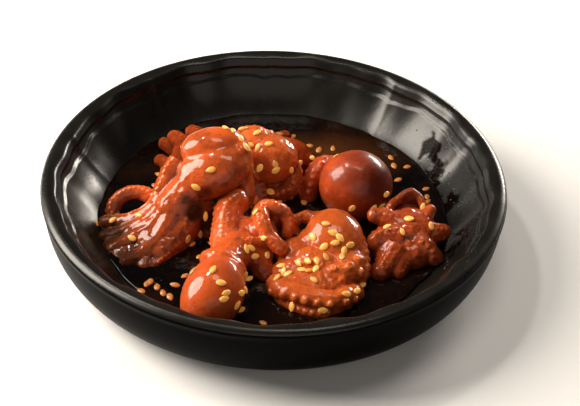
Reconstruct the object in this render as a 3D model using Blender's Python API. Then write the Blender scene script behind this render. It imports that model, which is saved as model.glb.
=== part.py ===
# Seasoned baby octopus salad in its own round dish: a thick-walled dish, a pool of
# marinade, eight small cooked octopuses lying in it, and sesame seeds stuck on them.
# The dish stands on its foot ring; the origin is the centre of that ring at table height.
# Photo-side view: +X to the right, +Y away from the viewer, +Z up. Lengths in metres,
# except the octopus tables, which are in millimetres and scaled by MM where they are read.
import math
import random

import bmesh
import bpy
from mathutils import Euler, Matrix, Vector
from mathutils.bvhtree import BVHTree

MM = 0.001

# Dish
RIM_RADIUS = 0.080
RIM_HEIGHT = 0.026
EDGE_DROP = 0.0016
LIP_WIDTH = 0.0054
LIP_STEP = 0.0017
FLOOR_HEIGHT = 0.005
FLOOR_RADIUS = 0.050
CORNER_RADIUS = 0.064
FOOT_RADIUS = 0.054
FOOT_WIDTH = 0.004
FOOT_RECESS = 0.0016
BELLY_RADIUS = 0.0613
BELLY_POWER = 2.48
DISH_SEGMENTS = 50
WALL_STEPS = 6
RIDGE_DEGREES = (21, 54, 95, 130, 166, 205, 245, 285, 325)
RIDGE_DEPTH = 0.0011
RIPPLE_DEPTH = 0.0003

# Marinade
SAUCE_LEVEL = 0.0085
GAP = 0.0003
SAUCE_MARGIN = 0.0013
SAUCE_VOXEL = 0.0012
SAUCE_CUTTER_TRIANGLES = 720

# Flesh
VOXEL = 0.0009
SMOOTH_STEPS = 6

# Sesame
SEED_LENGTH = 0.0033
SEED_WIDTH = 0.0021
SEED_THICKNESS = 0.0011
SEED_SPACING = 0.0027

# Every octopus: lumps are ellipsoids (centre, radii, turn in degrees) and limbs are
# tapering arms (points they pass through, radius at the root, radius at the tip).
OCTOPUSES = {
    "octopus_front": {
        "triangles": 960,
        "lumps": [
            ((-18, -51, 15), (10, 13.5, 9.8), (20, 0, -22)),
            ((-15.5, -39, 17), (8.3, 4.2, 6.9), (20, 0, -22)),
            ((-11, -27, 14), (7.4, 7, 6), (0, 0, -20)),
            ((-9.5, -18, 14.6), (8, 5.8, 4.5), (0, 0, -10)),
            ((-3.5, -20, 16), (5.5, 4.5, 4), (0, 0, 0)),
            ((-5.5, -26, 12), (6.5, 6, 4.5), (0, 0, 0)),
            ((1.9, -14.8, 17), (3.6, 2.4, 4.6), (0, 0, 0)),
        ],
        "limbs": [
            ([(-17.5, -46.5, 15), (-15, -37.5, 15.5), (-12.5, -29.5, 14.5), (-10, -21.5, 13)], 7.5, 5.5),
            ([(-14.5, -31, 12.5), (-15.2, -24, 14), (-15.3, -16.5, 16.2), (-14.9, -11.5, 18.2),
              (-13.2, -8.6, 19.6)], 5.6, 4.9),
            ([(-17.5, -28.6, 17.5), (-11.2, -28.2, 18.3), (-6.5, -27.7, 18), (-2.6, -25.9, 16.5)], 1.9, 1.8),
            ([(-5.4, -15.5, 16.5), (-3.8, -13.3, 20.6), (-0.1, -13.9, 22), (3.7, -15, 20.8),
              (5.2, -17.2, 18.3), (5, -18.9, 15.5)], 2.7, 2.3),
            ([(-4.2, -16.5, 21.6), (-3.6, -19.5, 22), (-2.6, -22.8, 20.6), (-0.3, -26, 18.3),
              (3.2, -28.2, 16)], 2.9, 2.5),
            ([(-7, -27, 13), (-4, -29.5, 11), (-1.5, -33, 8.5)], 5.0, 3.6),
            ([(-8, -20, 14), (-4, -14, 11), (-2, -7, 8.5), (-5, -1, 7.5)], 4.0, 2.4),
            ([(-12, -20, 14), (-16, -13, 11), (-18, -6, 8.5)], 4.0, 2.6),
        ],
    },
    "octopus_wide": {
        "triangles": 800,
        "lumps": [
            ((21, -22, 14), (10.5, 12.5, 8.2), (25, 0, 10)),
            ((16, -37, 9), (14, 10, 6), (0, 0, 10)),
            ((24.5, -30, 11), (7.5, 9.5, 6.5), (0, 0, 0)),
            ((9.5, -26, 10.5), (8, 8, 6.2), (0, 0, 0)),
            ((9, -33.5, 9.5), (9, 7, 5), (0, 0, 0)),
            ((16.5, -31, 12.5), (10, 7, 5), (10, 0, 0)),
            ((14.5, -21.5, 12.6), (6.6, 6.6, 6.4), (0, 0, 0)),
        ],
        "limbs": [
            ([(25, -13.5, 15.5), (19.4, -12, 16.2), (14.6, -11.7, 16), (11.5, -11.6, 16)], 3.6, 2.2),
            ([(14, -11.4, 16), (10.7, -11.2, 16.6), (7.9, -12.5, 15.4), (7.1, -14, 13.6), (8.5, -15.8, 11.8),
              (11.2, -16.2, 11.5), (13.5, -15.2, 12.6)], 2.1, 1.7),
            ([(13, -33, 10.5), (17.1, -34.5, 12), (21.3, -36.6, 12.8), (25.6, -35.8, 13),
              (29, -31, 12)], 3.6, 4.0),
            ([(1.9, -37.5, 9), (4.7, -43, 10.3), (9.3, -45.3, 11), (15.9, -47.5, 11), (22.3, -47, 10.8),
              (27.4, -41.6, 9.5)], 4.0, 3.6),
            ([(1.7, -39.8, 7.5), (6.2, -46, 7.5), (11.8, -49.2, 7.5), (18.3, -49.6, 7.5),
              (24.8, -45.6, 7.5)], 3.1, 3.1),
            ([(26, -14.5, 14), (29, -21, 14), (30.2, -27, 13), (30, -34, 11)], 2.8, 2.8),
        ],
    },
    "octopus_tall": {
        "triangles": 1180,
        "lumps": [
            ((-21, 6, 31), (12, 8.4, 7.8), (0, 0, 12)),
            ((-21, -2.2, 27.2), (13, 9.2, 7.3), (27, -18, 12)),
            ((-22, -0.8, 25.4), (11.6, 8, 8.4), (0, 0, 12)),
            ((-12, 3.5, 27), (4.5, 6.5, 9), (0, 0, 0)),
            ((-36.5, -12, 9.6), (14, 11, 6), (0, 0, 40)),
            ((-31, -7.5, 15), (10, 9, 9), (0, 0, 0)),
            ((-47, -17, 7), (11.2, 13.5, 3.7), (0, 0, 25)),
        ],
        "limbs": [
            ([(-25.5, -2.5, 23), (-30, -6, 20), (-33.5, -9, 16)], 7.0, 7.5),
            ([(-33, -8.5, 14.5), (-39.5, -12.5, 10.5), (-47, -16, 7.5)], 7.5, 5.4),
            ([(-30, -11, 13), (-33.5, -17.5, 9.5), (-38, -23.5, 7.5)], 7.0, 5.0),
            ([(-28, -7, 16), (-23.5, -9.5, 11), (-22, -12, 8.5)], 6.0, 4.0),
            ([(-11, 1.5, 23), (-9.5, -2.5, 20), (-9.5, -5, 17)], 3.6, 2.6),
            ([(-33.5, 4, 27), (-36, 1, 24), (-37.5, -2, 21), (-39.5, -5, 17)], 3.6, 3.2),
            ([(-37.5, -6, 17.5), (-42, -8, 13.2), (-49.5, -10, 10), (-58, -8.5, 8)], 4.2, 2.9),
            ([(-36.5, -7.5, 17.5), (-42, -11.8, 12.8), (-50.5, -15, 9.2), (-57.5, -15.5, 7.5)], 3.8, 2.6),
            ([(-35.5, -9, 17.2), (-41, -15.5, 12.2), (-48.5, -19.2, 9), (-54, -21.8, 7.5)], 4.2, 2.8),
            ([(-33, -11.5, 17), (-38, -19, 11.4), (-43.5, -25.4, 8.6), (-48.5, -28.6, 7.5)], 4.4, 2.8),
            ([(-34, -7.5, 17), (-35.8, -10.5, 14.8), (-38.6, -16.4, 12), (-40.6, -23.5, 9),
              (-42.5, -29.5, 7.2)], 3.6, 2.6),
            ([(-30.5, -12, 16), (-32.2, -17, 10.8), (-35.5, -23.5, 8.2), (-40, -29, 7)], 4.6, 2.7),
            ([(-28, -8.5, 15), (-27, -12, 10), (-29.5, -15.5, 8)], 5.0, 3.2),
            ([(-26, -4, 15), (-22.5, -5, 10), (-20, -8, 8)], 5.0, 2.9),
            ([(-40, -5, 12.5), (-42.5, -1.8, 14.5), (-46.8, -0.2, 15.5), (-51.3, -0.4, 15), (-54.6, -2, 13),
              (-56, -4.5, 10), (-55, -7.2, 7.8)], 2.7, 2.5),
        ],
    },
    "octopus_round": {
        "triangles": 700,
        "lumps": [
            ((28.5, 6.5, 16.9), (13, 12.4, 12.4), (0, 0, 0)),
        ],
        "limbs": [
            ([(18.5, 21, 15), (15.6, 16.5, 16), (13.2, 12.8, 13.5), (12, 9.8, 8.5)], 3.7, 3.4),
            ([(25, 14, 15), (20.5, 19.5, 15.5), (18, 22, 13)], 4.4, 3.2),
            ([(36, 2, 11), (40, -1, 9.5), (43, -5, 8.5)], 4.0, 2.6),
            ([(29, 15, 12), (27, 26, 9), (31, 33, 8)], 5.0, 2.8),
        ],
    },
    "octopus_star": {
        "triangles": 840,
        "lumps": [
            ((47, -13.5, 12.2), (10, 9.5, 6.4), (25, 0, 0)),
            ((47, -14.5, 14.3), (6, 6, 4.4), (0, 0, 0)),
            ((46, -18.5, 9.8), (10.5, 9.5, 6), (0, 0, 0)),
            ((40.5, -21, 10), (6.5, 7.5, 6), (0, 0, 0)),
            ((46.9, -0.6, 15.4), (5, 2, 4.6), (0, 0, 0)),
            ((46.5, -5, 12), (6, 6, 4.2), (0, 0, 0)),
        ],
        "limbs": [
            ([(42, -11.5, 15), (37.4, -10, 16.3), (34.6, -10.2, 17)], 4.1, 2.5),
            ([(43, -17.5, 13.5), (37.9, -19, 14.2), (34.8, -20.8, 14)], 4.8, 3.2),
            ([(42, -22, 12), (40, -25.8, 10.5), (36.8, -30.6, 9)], 5.2, 3.7),
            ([(46.5, -20, 12.5), (45, -25, 10.8), (42.6, -30, 9)], 3.8, 2.7),
            ([(49, -18, 12.5), (52, -20.5, 11.5), (54.6, -22.7, 10)], 5.2, 3.5),
            ([(51, -14, 13), (55.2, -13.3, 13), (58.4, -12.2, 12.5)], 4.8, 3.0),
            ([(50.5, -10.5, 14.5), (52.6, -8.6, 16.5), (54, -7.2, 18)], 3.6, 2.1),
            ([(39.5, -9, 15), (40.3, -5, 17), (43, -2, 18), (47.1, 0.6, 19.3), (50.6, -1.4, 18.3),
              (52, -4.5, 16.5)], 1.6, 1.4),
        ],
    },
    "octopus_back": {
        "triangles": 800,
        "lumps": [
            ((-1.5, 15.5, 20.5), (9.5, 9, 8.5), (0, 0, 0)),
            ((-7.5, 18.5, 22), (8, 7.5, 7.5), (0, 0, 0)),
            ((2, 18, 21), (5, 5, 6), (0, 0, 0)),
        ],
        "limbs": [
            ([(-12.5, 22, 24), (-7.5, 25, 23.5), (-2.5, 24, 21.5)], 4.0, 3.5),
            ([(3.5, 17, 18.5), (6, 14, 14.5), (5, 11, 11), (0, 9.5, 8.5)], 4.4, 3.4),
            ([(-8.5, 13, 16), (-6.5, 10.5, 11.5), (-5.5, 7, 8.5)], 4.4, 3.2),
            ([(-5, 16, 16), (0, 14, 12), (2, 12.5, 9)], 5.5, 3.6),
            ([(-8, 20, 16), (-10, 22, 11), (-12, 22, 8.5)], 5.5, 3.6),
        ],
    },
    "octopus_hidden": {
        "triangles": 550,
        "lumps": [
            ((3, 31, 10.5), (11.5, 8, 6.4), (0, 0, -20)),
        ],
        "limbs": [
            ([(8, 27, 11), (12.5, 27, 9.5), (13, 23, 8)], 4.6, 3.0),
            ([(0, 33, 11), (-4, 36.5, 12), (-9, 38, 11), (-12, 36, 8.5)], 4.6, 3.0),
            ([(3, 34, 10), (-1, 41, 9), (3, 46, 8)], 4.2, 2.6),
        ],
    },
    "octopus_far": {
        "triangles": 700,
        "lumps": [
            ((-29, 26, 12.5), (9, 8.5, 7), (0, 0, 0)),
        ],
        "limbs": [
            ([(-29, 26.5, 14), (-33.5, 28.5, 16), (-37.5, 32, 16.5)], 4.0, 2.8),
            ([(-32, 26, 10), (-37.5, 31.5, 11), (-41.5, 35.5, 11)], 3.4, 2.4),
            ([(-25.5, 28, 14), (-28.5, 32.5, 16), (-31, 35.5, 16.5)], 4.0, 2.8),
            ([(-32, 22, 10), (-38, 23, 10), (-42, 27, 9)], 3.6, 2.5),
            ([(-25, 30, 10), (-22, 38, 9), (-25, 44, 8)], 3.8, 2.4),
        ],
    },
}

# Patches of seeds in millimetres: node they lie on, middle, spread, how many.
SEED_PATCHES = [
    ("octopus_wide", (22, -28, 22), 7.0, 10),
    ("octopus_wide", (10, -38, 15), 5.0, 8),
    ("octopus_front", (-12, -50, 22), 4.5, 6),
    ("octopus_front", (-7, -32, 20), 4.0, 3),
    ("octopus_tall", (-14, 12, 36), 3.5, 5),
    ("octopus_tall", (-26, -9, 30), 5.0, 2),
    ("octopus_tall", (-46, -14, 16), 6.0, 4),
    ("octopus_back", (-3, 20, 28), 5.0, 7),
    ("octopus_round", (30, -3, 10), 5.0, 3),
    ("octopus_star", (44, -14, 22), 5.0, 4),
]
FLOATING_PATCHES = [
    ((-34, -42), 7.0, 5),
    ((46, 22), 6.0, 3),
    ((26, 40), 7.0, 3),
    ((-21, -22), 4.0, 2),
]


def clear_scene():
    for obj in list(bpy.data.objects):
        bpy.data.objects.remove(obj, do_unlink=True)


def material(name, colour, roughness, metallic=0.0):
    """A Principled material of one colour."""
    made = bpy.data.materials.new(name)
    made.use_nodes = True
    shader = made.node_tree.nodes["Principled BSDF"]
    shader.inputs["Base Color"].default_value = (*colour, 1.0)
    shader.inputs["Roughness"].default_value = roughness
    shader.inputs["Metallic"].default_value = metallic
    return made


def add_object(name, mesh, look=None):
    obj = bpy.data.objects.new(name, mesh)
    bpy.context.scene.collection.objects.link(obj)
    if look:
        mesh.materials.clear()
        mesh.materials.append(look)
    return obj


def mesh_from(bm, name):
    mesh = bpy.data.meshes.new(name)
    bm.normal_update()
    bm.to_mesh(mesh)
    bm.free()
    return mesh


def bake(obj):
    """Replace the object's mesh with what its modifiers make of it."""
    graph = bpy.context.evaluated_depsgraph_get()
    mesh = bpy.data.meshes.new_from_object(obj.evaluated_get(graph))
    obj.modifiers.clear()
    obj.data = mesh
    return obj


def remove(obj):
    bpy.data.objects.remove(obj, do_unlink=True)


# Dish


def ridge_share(angle):
    """0 on a ridge between two facets of the inner wall, 1 in the middle of a facet."""
    degrees = math.degrees(angle) % 360
    stops = [RIDGE_DEGREES[-1] - 360, *RIDGE_DEGREES, RIDGE_DEGREES[0] + 360]
    for low, high in zip(stops, stops[1:]):
        if low <= degrees <= high:
            share = (degrees - low) / (high - low)
            return 4 * share * (1 - share)
    return 1.0


def wobble(angle, strength):
    """How far the hand-cut looking inner wall stands in from the round."""
    ridge = RIDGE_DEPTH * (1 - ridge_share(angle)) ** 2
    ripple = RIPPLE_DEPTH * (math.sin(17 * angle) + math.sin(29 * angle + 1.3))
    return strength * (ridge + ripple)


def outer_profile():
    """Foot ring and rounded belly, from the middle of the underside out to the rim."""
    inner_foot = FOOT_RADIUS - FOOT_WIDTH
    points = [
        (inner_foot - 0.002, FOOT_RECESS, 0),
        (inner_foot, 0.0, 0),
        (FOOT_RADIUS, 0.0, 0),
    ]
    edge_height = RIM_HEIGHT - EDGE_DROP
    for share in (0.04, 0.12, 0.25, 0.45, 0.75):
        bulge = (1 - (1 - share) ** BELLY_POWER) ** (1 / BELLY_POWER)
        radius = BELLY_RADIUS + (RIM_RADIUS - 0.0006 - BELLY_RADIUS) * bulge
        points.append((radius, edge_height * share, 0))
    return points


def rim_profile():
    """Rounded outer edge and the flat lip, to where the lip steps down."""
    lip = RIM_RADIUS - LIP_WIDTH
    return [
        (RIM_RADIUS, RIM_HEIGHT - EDGE_DROP, 0),
        (RIM_RADIUS - 0.0007, RIM_HEIGHT - 0.0005, 0),
        (RIM_RADIUS - 0.0020, RIM_HEIGHT, 0),
        (lip + 0.0008, RIM_HEIGHT - 0.0003, 0.8),
        (lip, RIM_HEIGHT - 0.0010, 1),
        (lip - 0.0009, RIM_HEIGHT - 0.0010 - LIP_STEP, 1),
    ]


def wall_point(share):
    """A point of the inner wall: 0 under the lip, 1 where it meets the floor."""
    top = Vector((RIM_RADIUS - LIP_WIDTH - 0.0013, RIM_HEIGHT - 0.0032))
    corner = Vector((CORNER_RADIUS, FLOOR_HEIGHT - 0.0006))
    foot = Vector((FLOOR_RADIUS, FLOOR_HEIGHT))
    return top * (1 - share) ** 2 + corner * 2 * share * (1 - share) + foot * share**2


def dish_profile():
    wall = [(*wall_point(step / WALL_STEPS), 1 - step / WALL_STEPS) for step in range(WALL_STEPS + 1)]
    return outer_profile() + rim_profile() + wall


def turned(name, profile, segments=DISH_SEGMENTS):
    """Turn (radius, height, share of wobble) points about the upright axis, with closed ends."""
    bm = bmesh.new()
    rings = []
    for radius, height, strength in profile:
        ring = []
        for step in range(segments):
            angle = math.tau * step / segments
            reach = radius - wobble(angle, strength)
            ring.append(bm.verts.new((reach * math.cos(angle), reach * math.sin(angle), height)))
        rings.append(ring)
    for lower, upper in zip(rings, rings[1:]):
        for step in range(segments):
            after = (step + 1) % segments
            bm.faces.new((lower[step], lower[after], upper[after], upper[step]))
    bm.faces.new(list(reversed(rings[0])))
    bm.faces.new(rings[-1])
    return mesh_from(bm, name)


def shade_round(obj, degrees=40):
    obj.data.shade_smooth()
    obj.data.set_sharp_from_angle(angle=math.radians(degrees))


def make_dish(look):
    dish = add_object("dish", turned("dish", dish_profile()), look)
    shade_round(dish)
    return dish


def make_room():
    """The free room inside the dish, kept GAP clear of it, up to well above the food."""
    ceiling = 0.070
    inset = RIDGE_DEPTH + 2 * RIPPLE_DEPTH + GAP
    profile = [(FLOOR_RADIUS - 0.001, FLOOR_HEIGHT + GAP, 0)]
    for step in range(WALL_STEPS - 1, 0, -1):
        radius, height = wall_point(step / WALL_STEPS)
        profile.append((radius - inset, height + GAP, 0))
    lip_radius = RIM_RADIUS - LIP_WIDTH - 0.0013 - inset
    profile += [(lip_radius, RIM_HEIGHT, 0), (lip_radius, ceiling, 0)]
    return add_object("room", turned("room", profile, segments=36))


# Octopuses


def add_lump(bm, centre, radii, turn):
    place = Matrix.LocRotScale(
        Vector(centre) * MM,
        Euler([math.radians(angle) for angle in turn]),
        Vector(radii) * MM,
    )
    bmesh.ops.create_icosphere(bm, subdivisions=3, radius=1.0, matrix=place)


def add_limb(bm, points, root, tip):
    """A smooth tapering tube through the points, with a rounded tip."""
    curve = bpy.data.curves.new("limb", "CURVE")
    curve.dimensions = "3D"
    curve.resolution_u = 6
    curve.bevel_depth = 1.0
    curve.bevel_resolution = 3
    curve.use_fill_caps = True
    spline = curve.splines.new("BEZIER")
    spline.bezier_points.add(len(points) - 1)
    for index, (point, place) in enumerate(zip(spline.bezier_points, points)):
        point.co = Vector(place) * MM
        point.handle_left_type = point.handle_right_type = "AUTO"
        point.radius = (root + (tip - root) * index / (len(points) - 1)) * MM
    guide = add_object("limb", curve)
    graph = bpy.context.evaluated_depsgraph_get()
    tube = bpy.data.meshes.new_from_object(guide.evaluated_get(graph))
    bm.from_mesh(tube)
    remove(guide)
    add_lump(bm, points[-1], (tip, tip, tip), (0, 0, 0))


def largest_part(mesh):
    """Drop every loose scrap, keeping the part with the most vertices."""
    bm = bmesh.new()
    bm.from_mesh(mesh)
    unseen = set(bm.verts)
    parts = []
    while unseen:
        front = [unseen.pop()]
        part = []
        while front:
            vert = front.pop()
            part.append(vert)
            for edge in vert.link_edges:
                other = edge.other_vert(vert)
                if other in unseen:
                    unseen.remove(other)
                    front.append(other)
        parts.append(part)
    parts.sort(key=len)
    for part in parts[:-1]:
        bmesh.ops.delete(bm, geom=part, context="VERTS")
    bm.to_mesh(mesh)
    bm.free()


def boolean(obj, other, operation, solver="EXACT"):
    cut = obj.modifiers.new("cut", "BOOLEAN")
    cut.operation = operation
    cut.object = other
    cut.solver = solver
    bake(obj)


def melt(obj, voxel, steps):
    """Turn overlapping shapes into one smooth closed skin."""
    remesh = obj.modifiers.new("melt", "REMESH")
    remesh.mode = "VOXEL"
    remesh.voxel_size = voxel
    smooth = obj.modifiers.new("smooth", "SMOOTH")
    smooth.factor = 0.5
    smooth.iterations = steps
    bake(obj)


def count_triangles(obj):
    return sum(len(face.vertices) - 2 for face in obj.data.polygons)


def thin_out(obj, triangles):
    fewer = obj.modifiers.new("fewer", "DECIMATE")
    fewer.ratio = min(1.0, triangles / count_triangles(obj))
    bake(obj)


def swollen(obj, amount):
    """A copy of the object with its skin moved out, used as a cutter."""
    copy = add_object(obj.name + "_swollen", obj.data.copy())
    push = copy.modifiers.new("swell", "DISPLACE")
    push.strength = amount
    push.mid_level = 0.0
    return bake(copy)


def boxes_meet(one, other):
    for axis in range(3):
        first = [vert.co[axis] for vert in one.data.vertices]
        second = [vert.co[axis] for vert in other.data.vertices]
        if min(first) > max(second) or min(second) > max(first):
            return False
    return True


def make_octopus(name, spec, room, neighbours, look):
    bm = bmesh.new()
    for lump in spec["lumps"]:
        add_lump(bm, *lump)
    for limb in spec["limbs"]:
        add_limb(bm, *limb)
    octopus = add_object(name, mesh_from(bm, name), look)
    melt(octopus, VOXEL, SMOOTH_STEPS)
    largest_part(octopus.data)
    thin_out(octopus, spec["triangles"])
    boolean(octopus, room, "INTERSECT")
    for neighbour in neighbours:
        if boxes_meet(octopus, neighbour):
            cutter = swollen(neighbour, GAP * 1.4)
            boolean(octopus, cutter, "DIFFERENCE")
            remove(cutter)
    largest_part(octopus.data)
    return octopus


# Marinade


def keep_below(obj, height):
    """Cut the object off level at the height and close it there."""
    bm = bmesh.new()
    bm.from_mesh(obj.data)
    whole = bm.verts[:] + bm.edges[:] + bm.faces[:]
    bmesh.ops.bisect_plane(
        bm, geom=whole, plane_co=(0, 0, height), plane_no=(0, 0, 1), clear_outer=True
    )
    rim = [edge for edge in bm.edges if edge.is_boundary]
    bmesh.ops.triangle_fill(bm, edges=rim, normal=(0, 0, 1), use_beauty=True)
    bm.to_mesh(obj.data)
    bm.free()


def sunk_food(octopuses):
    """One coarse solid around the flesh that stands in the marinade."""
    bm = bmesh.new()
    for octopus in octopuses:
        around = swollen(octopus, SAUCE_MARGIN)
        bm.from_mesh(around.data)
        remove(around)
    food = add_object("food", mesh_from(bm, "food"))
    melt(food, SAUCE_VOXEL, 2)
    keep_below(food, SAUCE_LEVEL + 0.0015)
    thin_out(food, SAUCE_CUTTER_TRIANGLES)
    return food


def make_sauce(octopuses, look):
    inset = RIDGE_DEPTH + 2 * RIPPLE_DEPTH + GAP
    heights = (FLOOR_HEIGHT + GAP, 0.0058, 0.0068, SAUCE_LEVEL)
    profile = []
    for height in heights:
        share = next(step / 200 for step in range(200, 0, -1) if wall_point(step / 200).y > height - GAP)
        profile.append((wall_point(share).x - inset, height, 0))
    sauce = add_object("marinade", turned("marinade", profile, segments=48), look)
    food = sunk_food(octopuses)
    boolean(sauce, food, "DIFFERENCE", "MANIFOLD")
    remove(food)
    largest_part(sauce.data)
    return sauce


# Sesame


def add_seed(bm, place, normal, spin):
    upright = normal.to_track_quat("Z", "Y").to_matrix().to_4x4()
    turn = Matrix.Rotation(spin, 4, "Z")
    size = Matrix.Diagonal((SEED_LENGTH / 2, SEED_WIDTH / 2, SEED_THICKNESS / 2, 1))
    matrix = Matrix.Translation(place) @ upright @ turn @ size
    bmesh.ops.create_uvsphere(bm, u_segments=6, v_segments=4, radius=1.0, matrix=matrix)


def tree_of(obj):
    return BVHTree.FromPolygons(
        [vert.co.copy() for vert in obj.data.vertices],
        [tuple(face.vertices) for face in obj.data.polygons],
    )


def scatter_places(owner, centre, spread, count, others, taken, draw):
    """Places on the owner's skin near the centre, clear of other solids and other seeds."""
    skin = tree_of(owner)
    found = []
    for _ in range(count * 12):
        if len(found) == count:
            break
        guess = Vector([draw.gauss(middle, spread / 2) for middle in centre]) * MM
        place, normal, _face, _distance = skin.find_nearest(guess)
        if place is None or normal.z < 0.15:
            continue
        if any((place - other).length < SEED_SPACING for other in taken):
            continue
        if any(tree.find_nearest(place, SEED_LENGTH)[0] for tree in others):
            continue
        taken.append(place)
        found.append((place + normal * SEED_THICKNESS * 0.2, normal, draw.uniform(0, math.tau)))
    return found


def stick_seeds(owner, places):
    """Join seeds to the owner by one Boolean union on their collection."""
    if not places:
        return
    group = bpy.data.collections.new(owner.name + "_seeds")
    bpy.context.scene.collection.children.link(group)
    for index, (place, normal, spin) in enumerate(places):
        bm = bmesh.new()
        add_seed(bm, place, normal, spin)
        group.objects.link(bpy.data.objects.new(f"seed_{index}", mesh_from(bm, "seed")))
    union = owner.modifiers.new("seeds", "BOOLEAN")
    union.operation = "UNION"
    union.operand_type = "COLLECTION"
    union.collection = group
    union.solver = "EXACT"
    bake(owner)
    for seed in list(group.objects):
        remove(seed)
    bpy.data.collections.remove(group)


def scatter_seeds(dish, sauce, octopuses):
    draw = random.Random(4)
    solids = {obj.name: obj for obj in (dish, sauce, *octopuses)}
    trees = {name: tree_of(obj) for name, obj in solids.items()}
    wanted = {name: [] for name in solids}
    taken = []
    patches = list(SEED_PATCHES)
    level = SAUCE_LEVEL / MM
    patches += [("marinade", (*middle, level), spread, count) for middle, spread, count in FLOATING_PATCHES]
    for name, centre, spread, count in patches:
        others = [tree for other, tree in trees.items() if other != name]
        wanted[name] += scatter_places(solids[name], centre, spread, count, others, taken, draw)
    for name, places in wanted.items():
        stick_seeds(solids[name], places)


def main():
    clear_scene()
    glaze = material("black_glaze", (0.012, 0.012, 0.010), 0.32)
    flesh = material("red_flesh", (0.62, 0.13, 0.035), 0.28)
    marinade = material("dark_marinade", (0.05, 0.015, 0.006), 0.12)
    dish = make_dish(glaze)
    room = make_room()
    octopuses = []
    for name, spec in OCTOPUSES.items():
        octopuses.append(make_octopus(name, spec, room, octopuses, flesh))
    remove(room)
    sauce = make_sauce(octopuses, marinade)
    scatter_seeds(dish, sauce, octopuses)
    for octopus in octopuses:
        shade_round(octopus)
    for obj in (dish, sauce, *octopuses):
        print(obj.name, count_triangles(obj), "triangles")


main()
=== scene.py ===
import math
import random

import bmesh
import bpy
import numpy as np
from mathutils import Euler, Matrix, Vector, noise
from mathutils.bvhtree import BVHTree


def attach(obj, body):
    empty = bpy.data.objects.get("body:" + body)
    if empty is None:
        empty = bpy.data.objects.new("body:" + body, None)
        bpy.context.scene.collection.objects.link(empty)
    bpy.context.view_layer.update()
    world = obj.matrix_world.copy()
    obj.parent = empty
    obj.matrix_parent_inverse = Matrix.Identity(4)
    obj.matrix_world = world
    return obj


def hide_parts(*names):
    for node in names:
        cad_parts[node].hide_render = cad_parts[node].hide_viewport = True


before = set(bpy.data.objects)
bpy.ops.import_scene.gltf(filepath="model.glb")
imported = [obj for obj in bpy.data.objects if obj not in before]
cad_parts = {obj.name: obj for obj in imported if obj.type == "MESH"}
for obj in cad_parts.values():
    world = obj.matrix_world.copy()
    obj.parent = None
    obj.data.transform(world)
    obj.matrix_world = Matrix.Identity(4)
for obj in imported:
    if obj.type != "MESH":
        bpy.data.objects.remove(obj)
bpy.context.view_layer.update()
mm = 0.001


# camera, worked out from the dish's outline in a 580 x 406 picture
cameraPlan = {
    "elevation": 38.43,
    "distance": 0.5,
    "aim": (0.00562, 0.0, 0.01305),
    "roll": 2.09,
    "focalPixels": 1429.3,
    "picture": (580, 406),
    "sensorWidth": 36,
    "nearClip": 0.01,
}


def cameraAxes(plan):
    tilt = math.radians(plan["elevation"])
    ahead = Vector((0, math.cos(tilt), -math.sin(tilt)))
    level = Vector((1, 0, 0))
    upright = level.cross(ahead)
    roll = math.radians(plan["roll"])
    right = math.cos(roll) * level + math.sin(roll) * upright
    up = -math.sin(roll) * level + math.cos(roll) * upright
    return right, up, ahead, Vector(plan["aim"]) - ahead * plan["distance"]


def placeCamera(plan):
    right, up, ahead, eye = cameraAxes(plan)
    lens = bpy.data.cameras.new("photoCamera")
    lens.sensor_width = plan["sensorWidth"]
    lens.lens = plan["focalPixels"] / plan["picture"][0] * plan["sensorWidth"]
    lens.clip_start = plan["nearClip"]
    holder = bpy.data.objects.new("photoCamera", lens)
    bpy.context.scene.collection.objects.link(holder)
    holder.matrix_world = Matrix.Translation(eye) @ Matrix((right, up, -ahead)).transposed().to_4x4()
    bpy.context.scene.camera = holder


def seenAt(tree, x, y):
    # the point and normal of the surface that the picture shows at a pixel
    right, up, ahead, eye = cameraAxes(cameraPlan)
    width, height = cameraPlan["picture"]
    aim = ahead * cameraPlan["focalPixels"] + right * (x - width / 2) - up * (y - height / 2)
    place, normal, _face, _far = tree.ray_cast(eye, aim.normalized())
    return place, normal


placeCamera(cameraPlan)
print("camera placed")


# shader helpers
class Wire:
    def __init__(self, finish, socket):
        self.finish = finish
        self.socket = socket

    def out(self, name):
        return Wire(self.finish, self.socket.node.outputs[name])

    def maths(self, operation, *others):
        inputs = dict(enumerate((self, *others)))
        return self.finish.node("ShaderNodeMath", {"operation": operation}, inputs)

    def __add__(self, other):
        return self.maths("ADD", other)

    __radd__ = __add__

    def __mul__(self, other):
        return self.maths("MULTIPLY", other)

    def __sub__(self, other):
        return self.maths("SUBTRACT", other)

    def __rsub__(self, other):
        return (self * -1) + other

    def clamped(self):
        return self.maths("MINIMUM", 1.0).maths("MAXIMUM", 0.0)

    def between(self, low, high):
        return self.finish.node(
            "ShaderNodeMapRange",
            {"interpolation_type": "SMOOTHSTEP"},
            {"Value": self, "From Min": low, "From Max": high, "To Min": 0.0, "To Max": 1.0},
        )


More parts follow.
